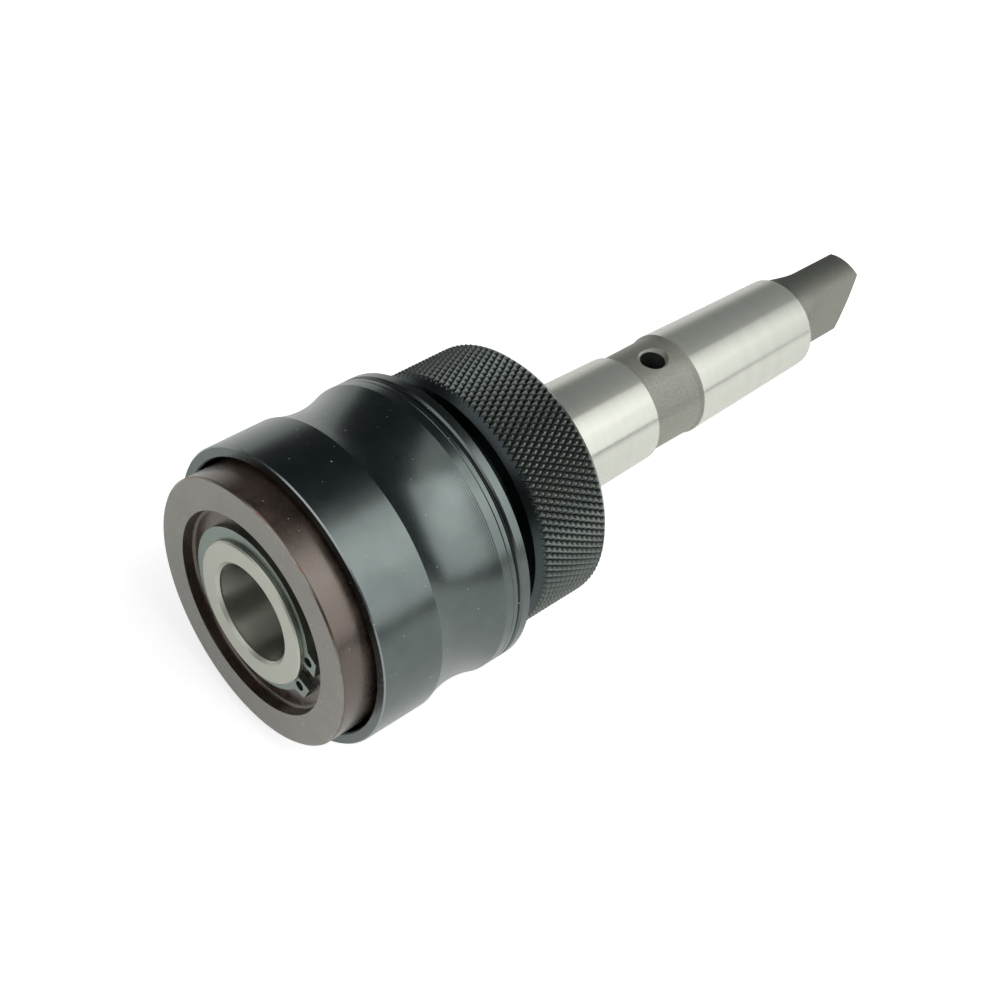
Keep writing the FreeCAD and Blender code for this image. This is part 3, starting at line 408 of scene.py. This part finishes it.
# Turned steel with a hot black oxide finish: a thin dark skin that keeps the lathe's fine lines and
# mirrors softly, a little uneven, with a painted highlight on the front corner's bevel
sleeveLook = {
    "pale": "#6a7270",
    "dark": "#616967",
    "cloud": 5.0,                # width of the uneven patches of the oxide
    "cloudRoughness": (0.24, 0.28),
    "groove": (36.75, 37.62),    # the wire ring's groove, whose bottom is coloured near-black as painted shade
    "grooveTop": 29.0,
    # painted shade at the bottom of the wire ring's groove
    "groovePaintedShade": "#15181a",
    "paintedHighlight": "#929997",         # painted highlight: the front corner's bevel is coloured pale
    "highlightBand": (6.2, 6.7),
    "highlightSlope": (-0.707, 0.2),    # lean of that bevel's normal along the axis, and how closely
    "lineWidth": 0.10,
    "lineLength": 60.0,
    "lineDepth": 0.0008,
    "feed": 0.38,                # pitch of the tool's feed lines, open to view in the rear of the waist
    "feedBand": (26.5, 33.5),    # they grow from nothing to their full depth
    "feedEnd": 34.0,
    "feedDepth": 0.003,
    "speck": "#dcdad2",
    "speckApart": 1.3,
    "speckShare": 0.085,
}


def makeOxideMaterial():
    material, tree = newMaterial("turnedBlackOxide")
    lathe = latheCoordinates(tree)
    fine = turnedStreaks(tree, lathe, sleeveLook["lineWidth"], sleeveLook["lineLength"], 3.0)
    clouds = addNode(tree, "TexNoise", {
        "Vector": lathe["place"], "Scale": 1 / (sleeveLook["cloud"] * mm), "Detail": 5.0, "Roughness": 0.6,
    }).outputs[0]
    clouds = addNode(tree, "MapRange", {"Value": clouds, **noiseSpan}).outputs[0]
    low, high = sleeveLook["cloudRoughness"]
    roughness = addNode(tree, "Mix", {0: clouds, 2: low, 3: high}).outputs[0]

    # painted highlight on the front corner's bevel, painted shade at the bottom of the wire ring's groove,
    # and dust
    facing = addNode(tree, "TexCoord").outputs["Normal"]
    alongAxis = addNode(tree, "SeparateXYZ", {0: facing}).outputs["X"]
    slope, margin = sleeveLook["highlightSlope"]
    sloped = addNode(tree, "Math", {0: alongAxis, 1: slope, 2: margin}, operation="COMPARE").outputs[0]
    corner = limitMask(tree, lathe["x"], *sleeveLook["highlightBand"])
    paintedHighlight = addNode(tree, "Math", {0: sloped, 1: corner}, operation="MULTIPLY").outputs[0]
    groove = limitMask(tree, lathe["x"], *sleeveLook["groove"])
    deep = limitMask(tree, lathe["out"], 0.0, sleeveLook["grooveTop"])
    # the bottom of the groove, coloured near-black as painted shade
    sunk = addNode(tree, "Math", {0: groove, 1: deep}, operation="MULTIPLY").outputs[0]
    dust = dustSpecks(tree, lathe["place"], sleeveLook["speckApart"], sleeveLook["speckShare"])
    colour = linearColour(sleeveLook["dark"])
    for mask, name in ((clouds, "pale"), (sunk, "groovePaintedShade"), (paintedHighlight, "paintedHighlight"), (dust, "speck")):
        colour = addNode(tree, "Mix", {
            0: mask, 6: colour, 7: linearColour(sleeveLook[name]),
        }, data_type="RGBA").outputs[2]
    metal = addNode(tree, "Math", {0: 1.0, 1: dust}, operation="SUBTRACT").outputs[0]

    # the tool's feed lines, with the fine lines on them
    phase = addNode(tree, "Math", {
        0: lathe["x"], 1: 2 * math.pi / (sleeveLook["feed"] * mm),
    }, operation="MULTIPLY").outputs[0]
    wave = addNode(tree, "Math", {0: phase}, operation="SINE").outputs[0]
    start, end = (place * mm for place in sleeveLook["feedBand"])
    swell = addNode(tree, "MapRange", {"Value": lathe["x"], "From Min": start, "From Max": end}).outputs[0]
    ahead = limitMask(tree, lathe["x"], 0.0, sleeveLook["feedEnd"])
    swell = addNode(tree, "Math", {0: swell, 1: ahead}, operation="MULTIPLY").outputs[0]
    feed = addNode(tree, "Math", {0: wave, 1: swell}, operation="MULTIPLY").outputs[0]
    ridges = addNode(tree, "Bump", {
        "Height": feed, "Distance": sleeveLook["feedDepth"] * mm, "Strength": 1.0,
    })
    bump = addNode(tree, "Bump", {
        "Height": fine, "Distance": sleeveLook["lineDepth"] * mm, "Strength": 0.3,
        "Normal": ridges.outputs[0],
    })
    shader = addNode(tree, "BsdfPrincipled", {
        "Base Color": colour, "Metallic": metal, "Roughness": roughness, "Normal": bump.outputs[0],
    })
    addNode(tree, "OutputMaterial", {0: shader.outputs[0]})
    return material


# Turned steel with a browned finish: a thicker skin of red-brown iron oxide, deep in the shade and
# grey where it mirrors the light. The front face is lapped, so there the skin is thin and pale.
brownLook = {
    "pale": "#493b33",
    "dark": "#2b211d",
    "blotch": 6.0,               # width of the uneven patches of the finish
    "blotchSpan": (0.3, 0.65),   # values of their noise from dark to pale
    "sheen": "#fff2e6",
    "lapped": "#8a8781",
    "lappedBand": (-1.0, 0.2),
    "wornAndHighlight": "#806256",           # copper-coloured where the corner is rubbed, and a painted highlight along it
    "wornBand": (0.05, 0.36),
    "wornHeight": (25.5, 100.0),     # distance from the axis
    "rubs": 3.0,                 # length of the rubbed places along the corner
    "rubSpan": (0.45, 0.65),     # values of their noise from whole to rubbed
    "roughness": (0.20, 0.34),
    "roughnessSpan": (0.4, 1.5),     # values of the fine lines and the blotches added up
    "ior": 2.0,                  # iron oxide bends light more than glass
    "lineWidth": 0.14,
    "lineLength": 40.0,
    "lineDepth": 0.002,
    "speck": "#d2ccc0",
    "speckApart": 1.3,
    "speckShare": 0.085,
}


def makeBrownMaterial():
    material, tree = newMaterial("turnedBrownedSteel")
    lathe = latheCoordinates(tree)
    fine = turnedStreaks(tree, lathe, brownLook["lineWidth"], brownLook["lineLength"], 3.0)
    blotches = addNode(tree, "TexNoise", {
        "Vector": lathe["place"], "Scale": 1 / (brownLook["blotch"] * mm), "Detail": 3.0, "Roughness": 0.6,
    }).outputs[0]
    low, high = brownLook["blotchSpan"]
    blotches = addNode(tree, "MapRange", {"Value": blotches, "From Min": low, "From Max": high}).outputs[0]

    # the lapped face, and the places where its outer corner is rubbed and carries a painted highlight
    lapped = limitMask(tree, lathe["x"], *brownLook["lappedBand"])
    rubs = addNode(tree, "TexNoise", {
        "Vector": lathe["place"], "Scale": 1 / (brownLook["rubs"] * mm), "Detail": 2.0,
    }).outputs[0]
    low, high = brownLook["rubSpan"]
    wornAndHighlight = addNode(tree, "MapRange", {"Value": rubs, "From Min": low, "From Max": high}).outputs[0]
    rim = limitMask(tree, lathe["out"], *brownLook["wornHeight"])
    corner = limitMask(tree, lathe["x"], *brownLook["wornBand"])
    for mask in (rim, corner):
        wornAndHighlight = addNode(tree, "Math", {0: wornAndHighlight, 1: mask}, operation="MULTIPLY").outputs[0]
    dust = dustSpecks(tree, lathe["place"], brownLook["speckApart"], brownLook["speckShare"])
    colour = linearColour(brownLook["dark"])
    for mask, name in ((blotches, "pale"), (lapped, "lapped"), (wornAndHighlight, "wornAndHighlight"), (dust, "speck")):
        colour = addNode(tree, "Mix", {
            0: mask, 6: colour, 7: linearColour(brownLook[name]),
        }, data_type="RGBA").outputs[2]
    metal = addNode(tree, "Math", {0: lapped, 1: wornAndHighlight}, operation="MAXIMUM").outputs[0]
    sheen = addNode(tree, "Mix", {
        0: lapped, 6: linearColour(brownLook["sheen"]), 7: linearColour("#ffffff"),
    }, data_type="RGBA").outputs[2]

    uneven = addNode(tree, "Math", {0: fine, 1: blotches}, operation="ADD").outputs[0]
    low, high = brownLook["roughnessSpan"]
    smooth, rough = brownLook["roughness"]
    roughness = addNode(tree, "MapRange", {
        "Value": uneven, "From Min": low, "From Max": high, "To Min": smooth, "To Max": rough,
    }).outputs[0]
    bump = addNode(tree, "Bump", {
        "Height": fine, "Distance": brownLook["lineDepth"] * mm, "Strength": 0.4,
    })
    shader = addNode(tree, "BsdfPrincipled", {
        "Base Color": colour, "Metallic": metal, "IOR": brownLook["ior"], "Roughness": roughness,
        "Specular Tint": sheen, "Normal": bump.outputs[0],
    })
    addNode(tree, "OutputMaterial", {0: shader.outputs[0]})
    return material


# Knurled steel, black oxide: pressed diamonds with a dull skin, painted shade in the valleys and a painted
# highlight on the tips
knurlLook = {
    # painted shade: the valleys between the diamonds are coloured darker than the skin
    "valley": "#313536",
    "valleyShadeHeight": (25.8, 26.05),   # distance from the axis at which the painted shade in the valleys ends
    "pale": "#777d77",
    "dark": "#636965",
    # painted highlight: the diamonds' tips are coloured paler
    "paintedHighlight": "#868b85",
    "highlightHeight": (26.2, 26.33),
    "roughness": (0.30, 0.42),
    "bevel": "#474e50",              # bevels and faces are turned smooth
    "bevelRoughness": 0.3,
    "bevelSlope": 0.5,               # they face along the axis by more than this
    "grain": 0.25,                   # coarser than the real grain, so that it shows
    "grainDepth": 0.006,
}


def makeKnurlMaterial():
    material, tree = newMaterial("knurledBlackOxide")
    lathe = latheCoordinates(tree)
    grain = addNode(tree, "TexNoise", {
        "Vector": lathe["place"], "Scale": 1 / (knurlLook["grain"] * mm), "Detail": 4.0,
    }).outputs[0]
    speckle = addNode(tree, "MapRange", {"Value": grain, **noiseSpan}).outputs[0]
    height = {}
    for name in ("valleyShadeHeight", "highlightHeight"):
        start, end = (distance * mm for distance in knurlLook[name])
        height[name] = addNode(tree, "MapRange", {
            "Value": lathe["out"], "From Min": start, "From Max": end,
        }).outputs[0]
    facing = addNode(tree, "TexCoord").outputs["Normal"]
    alongAxis = addNode(tree, "SeparateXYZ", {0: facing}).outputs["X"]
    alongAxis = addNode(tree, "Math", {0: alongAxis}, operation="ABSOLUTE").outputs[0]
    bevel = addNode(tree, "Math", {
        0: alongAxis, 1: knurlLook["bevelSlope"],
    }, operation="GREATER_THAN").outputs[0]

    skin = addNode(tree, "Mix", {
        0: speckle, 6: linearColour(knurlLook["dark"]), 7: linearColour(knurlLook["pale"]),
    }, data_type="RGBA").outputs[2]
    # painted shade: the colour starts near-black in the valleys
    colour = linearColour(knurlLook["valley"])
    for mask, layer in (
        (height["valleyShadeHeight"], skin),
        # painted highlight on the diamonds' tips
        (height["highlightHeight"], linearColour(knurlLook["paintedHighlight"])),
        (bevel, linearColour(knurlLook["bevel"])),
    ):
        colour = addNode(tree, "Mix", {0: mask, 6: colour, 7: layer}, data_type="RGBA").outputs[2]
    low, high = knurlLook["roughness"]
    roughness = addNode(tree, "Mix", {0: speckle, 2: low, 3: high}).outputs[0]
    roughness = addNode(tree, "Mix", {0: bevel, 2: roughness, 3: knurlLook["bevelRoughness"]}).outputs[0]
    bump = addNode(tree, "Bump", {
        "Height": grain, "Distance": knurlLook["grainDepth"] * mm, "Strength": 0.5,
    })
    shader = addNode(tree, "BsdfPrincipled", {
        "Base Color": colour, "Metallic": 1.0, "Roughness": roughness, "Normal": bump.outputs[0],
    })
    addNode(tree, "OutputMaterial", {0: shader.outputs[0]})
    return material


# Small parts: each is one finish with fine grain, told apart by colour and polish
smallGrain = {
    "width": 0.3,    # coarser than the real grain, so that it shows
    "depth": 0.003,
}
smallFinishes = {
    # phosphated spring steel, a dull green grey
    "phosphatedSpringSteel": {"pale": "#939e96", "dark": "#7f8a83", "roughness": (0.32, 0.45), "metal": 1.0},
    # oil-tempered spring wire, dark with a slight shine
    "oilTemperedWire": {"pale": "#5c5f5e", "dark": "#474a49", "roughness": (0.25, 0.38), "metal": 1.0},
    # hardened and ground tool steel, bright and a little warm
    "hardenedToolSteel": {"pale": "#c2c0b8", "dark": "#a5a39b", "roughness": (0.20, 0.32), "metal": 1.0},
    # cast bearing bronze, yellow-brown with a soft sheen
    "turnedBearingBronze": {"pale": "#c9985a", "dark": "#a97c44", "roughness": (0.28, 0.40), "metal": 1.0},
    # moulded nitrile rubber, black and dull
    "mouldedNitrileRubber": {"pale": "#202122", "dark": "#151617", "roughness": (0.55, 0.7), "metal": 0.0},
}


def makeSmallMaterial(name, look):
    material, tree = newMaterial(name)
    place = addNode(tree, "TexCoord").outputs["Object"]
    grain = addNode(tree, "TexNoise", {
        "Vector": place, "Scale": 1 / (smallGrain["width"] * mm), "Detail": 3.0,
    }).outputs[0]
    speckle = addNode(tree, "MapRange", {"Value": grain, **noiseSpan}).outputs[0]
    colour = addNode(tree, "Mix", {
        0: speckle, 6: linearColour(look["dark"]), 7: linearColour(look["pale"]),
    }, data_type="RGBA").outputs[2]
    low, high = look["roughness"]
    roughness = addNode(tree, "Mix", {0: speckle, 2: low, 3: high}).outputs[0]
    bump = addNode(tree, "Bump", {
        "Height": grain, "Distance": smallGrain["depth"] * mm, "Strength": 0.4,
    })
    shader = addNode(tree, "BsdfPrincipled", {
        "Base Color": colour, "Metallic": look["metal"], "Roughness": roughness,
        "Normal": bump.outputs[0],
    })
    addNode(tree, "OutputMaterial", {0: shader.outputs[0]})
    return material


# Wire ring: blued music wire, coloured nearly black for its blued skin and as painted shade in its groove,
# with bare cut ends
wireLook = {
    # the wire's own blue with painted shade of the groove
    "bluedAndShaded": "#15181a",
    "cut": "#d8d0bc",
    "roughness": (0.30, 0.42),
    "metal": 0.6,
    "cutMetal": 0.5,
    "cutSlope": 0.7,             # an end faces round the ring by more than this
    "drawnWidth": 0.08,          # the drawing marks of the wire
    "drawnLength": 10.0,
}


def makeWireMaterial():
    material, tree = newMaterial("bluedMusicWire")
    lathe = latheCoordinates(tree)
    drawn = turnedStreaks(tree, lathe, wireLook["drawnWidth"], wireLook["drawnLength"])
    drawn = addNode(tree, "MapRange", {"Value": drawn, **noiseSpan}).outputs[0]
    facing = addNode(tree, "TexCoord").outputs["Normal"]
    wireRun = addNode(tree, "VectorMath", {
        0: (1, 0, 0), 1: lathe["around"],
    }, operation="CROSS_PRODUCT").outputs[0]
    lined = addNode(tree, "VectorMath", {0: facing, 1: wireRun}, operation="DOT_PRODUCT").outputs["Value"]
    lined = addNode(tree, "Math", {0: lined}, operation="ABSOLUTE").outputs[0]
    cut = addNode(tree, "Math", {0: lined, 1: wireLook["cutSlope"]}, operation="GREATER_THAN").outputs[0]
    colour = addNode(tree, "Mix", {
        0: cut, 6: linearColour(wireLook["bluedAndShaded"]), 7: linearColour(wireLook["cut"]),
    }, data_type="RGBA").outputs[2]
    metal = addNode(tree, "Mix", {0: cut, 2: wireLook["metal"], 3: wireLook["cutMetal"]}).outputs[0]
    low, high = wireLook["roughness"]
    roughness = addNode(tree, "Mix", {0: drawn, 2: low, 3: high}).outputs[0]
    shader = addNode(tree, "BsdfPrincipled", {
        "Base Color": colour, "Metallic": metal, "Roughness": roughness,
    })
    addNode(tree, "OutputMaterial", {0: shader.outputs[0]})
    return material


materials = {
    "arbor": makeArborMaterial(),
    "wire": makeWireMaterial(),
    "black": makeOxideMaterial(),
    "brown": makeBrownMaterial(),
    "knurl": makeKnurlMaterial(),
}
for name, look in smallFinishes.items():
    materials[name] = makeSmallMaterial(name, look)

nodeMaterials = {
    "arbor_body": "arbor",
    "front_ring": "brown",
    "release_sleeve": "black",
    "sleeve_end_ring": "black",
    "knurled_collar": "knurl",
    "nose_circlip": "phosphatedSpringSteel",
    "collar_circlip": "phosphatedSpringSteel",
    "bush_snap_ring": "phosphatedSpringSteel",
    "return_spring": "oilTemperedWire",
    "ejector_spring": "oilTemperedWire",
    "wire_snap_ring": "wire",
    "cam_ring_snap_wire": "oilTemperedWire",
    "cam_ring": "hardenedToolSteel",
    "spring_seat_washer": "hardenedToolSteel",
    "collar_key": "hardenedToolSteel",
    "guide_pins": "hardenedToolSteel",
    "lock_key_1": "hardenedToolSteel",
    "lock_key_2": "hardenedToolSteel",
    "ejector_plunger": "hardenedToolSteel",
    "plunger_bush": "turnedBearingBronze",
    "front_wiper_ring": "mouldedNitrileRubber",
    "socket_seal_ring": "mouldedNitrileRubber",
    "plunger_seal_ring": "mouldedNitrileRubber",
}
for node, finish in nodeMaterials.items():
    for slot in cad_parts[node].material_slots:
        slot.material = materials[finish]
print("materials made:", len(materials))


# Knurled collar: the CAD blank turned down to the knurl's valleys, with its diamonds pressed on
collarKnurl = {
    "radius": 26.35,         # over the diamonds
    "depth": 0.55,           # diamonds above the valleys
    "count": 114,            # diamonds round the collar
    "helix": 30.0,           # degrees between the grooves and the axis
    "flat": 0.16,            # share of a diamond left flat at its tip
    "sunk": 0.15,            # how far a diamond's foot is sunk in the blank
    "front": 45.2,
    "rear": 63.0,
    "bevelRun": 1.6,         # corner bevels: along the axis and outwards
    "bevelRise": 1.5,
    "barrelMargin": 0.1,     # the blank's barrel is what stands above the valleys by more than this
    "sharpAngle": 20.0,
}


# adds one diamond: its foot, its sloping sides and the small flat at its tip
def addDiamond(builder, x, arc, long, wide):
    foot = bmesh.ops.create_circle(builder, cap_ends=True, segments=4, radius=0.5)["verts"]
    bmesh.ops.scale(builder, verts=foot, vec=(long, wide, 1))
    bmesh.ops.translate(builder, verts=foot, vec=(x, arc, 0))
    face = foot[0].link_faces[0]
    wall = bmesh.ops.extrude_face_region(builder, geom=[face])["geom"]
    ring = [item for item in wall if isinstance(item, bmesh.types.BMVert)]
    bmesh.ops.translate(builder, verts=ring, vec=(0, 0, collarKnurl["sunk"]))
    top = [item for item in wall if isinstance(item, bmesh.types.BMFace)]
    tip = bmesh.ops.extrude_face_region(builder, geom=top)["geom"]
    tipRing = [item for item in tip if isinstance(item, bmesh.types.BMVert)]
    centre = Matrix.Translation((-x, -arc, 0))
    share = collarKnurl["flat"]
    bmesh.ops.scale(builder, verts=tipRing, vec=(share, share, 1), space=centre)
    bmesh.ops.translate(builder, verts=tipRing, vec=(0, 0, collarKnurl["depth"]))
    bmesh.ops.delete(builder, geom=top, context="FACES_ONLY")


def makeCollar():
    valley = collarKnurl["radius"] - collarKnurl["depth"]
    wide = 2 * math.pi * collarKnurl["radius"] / collarKnurl["count"]
    long = wide / math.tan(math.radians(collarKnurl["helix"]))
    middle = (collarKnurl["front"] + collarKnurl["rear"]) / 2
    half = (collarKnurl["rear"] - collarKnurl["front"]) / 2

    # one column of diamonds, laid flat with the height of the tips along Z
    column = bmesh.new()
    rows = int(half / (long / 2)) + 2  # past both ends of the collar
    for row in range(-rows, rows + 1):
        addDiamond(column, row * long / 2, (row % 2) * wide / 2, long, wide)
    bmesh.ops.translate(column, verts=column.verts, vec=(0, 0, -collarKnurl["sunk"]))

    # cut to length by both corner bevels
    slope = Vector((collarKnurl["bevelRise"], 0, collarKnurl["bevelRun"])).normalized()
    for side in (-1, 1):
        corner = Vector((side * (half - collarKnurl["bevelRun"]), 0, collarKnurl["depth"]))
        normal = Vector((side * slope.x, 0, slope.z))
        cut = bmesh.ops.bisect_plane(
            column, geom=column.verts[:] + column.edges[:] + column.faces[:],
            plane_co=corner, plane_no=normal, clear_outer=True,
        )["geom_cut"]
        edges = [item for item in cut if isinstance(item, bmesh.types.BMEdge)]
        bmesh.ops.holes_fill(column, edges=edges, sides=0)

    # rolled round the axis, and repeated
    for vert in column.verts:
        angle = vert.co.y / collarKnurl["radius"]
        out = valley + vert.co.z
        vert.co = Vector((middle + vert.co.x, out * math.sin(angle), out * math.cos(angle)))
    bmesh.ops.recalc_face_normals(column, faces=column.faces)
    repeats = collarKnurl["count"] - 1
    bmesh.ops.spin(
        column, geom=column.verts[:] + column.edges[:] + column.faces[:],
        cent=(0, 0, 0), axis=(1, 0, 0),
        angle=2 * math.pi * repeats / collarKnurl["count"], steps=repeats,
        use_duplicate=True, use_merge=False,
    )
    bmesh.ops.scale(column, verts=column.verts, vec=(mm, mm, mm))

    # the blank: the CAD collar's own shape, with its barrel brought down to the valleys
    blank = bmesh.new()
    blank.from_mesh(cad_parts["knurled_collar"].data)
    bmesh.ops.remove_doubles(blank, verts=blank.verts, dist=weldDistance)
    barrel = (valley + collarKnurl["barrelMargin"]) * mm
    drop = collarKnurl["depth"] * collarKnurl["bevelRun"] / collarKnurl["bevelRise"]
    for vert in blank.verts:
        out = math.hypot(vert.co.y, vert.co.z)
        if out > barrel:
            side = 1 if vert.co.x > middle * mm else -1
            vert.co.x += side * drop * mm
            vert.co.y *= valley * mm / out
            vert.co.z *= valley * mm / out
    mesh = bpy.data.meshes.new("collarKnurled")
    blank.to_mesh(mesh)
    blank.free()
    column.from_mesh(mesh)
    column.to_mesh(mesh)
    column.free()
    mesh.materials.append(materials["knurl"])
    mesh.shade_smooth()
    mesh.set_sharp_from_angle(angle=math.radians(collarKnurl["sharpAngle"]))
    collar = bpy.data.objects.new("collarKnurled", mesh)
    bpy.context.scene.collection.objects.link(collar)
    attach(collar, "arbor")
    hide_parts("knurled_collar")


makeCollar()
print("collar knurled")


# Springs: copies of the CAD coils, welded, smoothly shaded and carried on the arbor
springs = {
    "return_spring": {"name": "returnSpringCoil", "joint": "sleeve_slide", "sharpAngle": 40.0},
    "ejector_spring": {"name": "ejectorSpringCoil", "joint": "plunger_slide", "sharpAngle": 40.0},
}


def makeSpring(node, spring):
    coil = bmesh.new()
    coil.from_mesh(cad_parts[node].data)
    bmesh.ops.remove_doubles(coil, verts=coil.verts, dist=weldDistance)
    bmesh.ops.recalc_face_normals(coil, faces=coil.faces)
    mesh = bpy.data.meshes.new(spring["name"])
    coil.to_mesh(mesh)
    coil.free()
    mesh.materials.append(materials[nodeMaterials[node]])
    mesh.shade_smooth()
    mesh.set_sharp_from_angle(angle=math.radians(spring["sharpAngle"]))
    piece = bpy.data.objects.new(spring["name"], mesh)
    bpy.context.scene.collection.objects.link(piece)
    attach(piece, "arbor")
    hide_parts(node)
    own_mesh(piece)


for node, spring in springs.items():
    makeSpring(node, spring)
print("springs made:", len(springs))
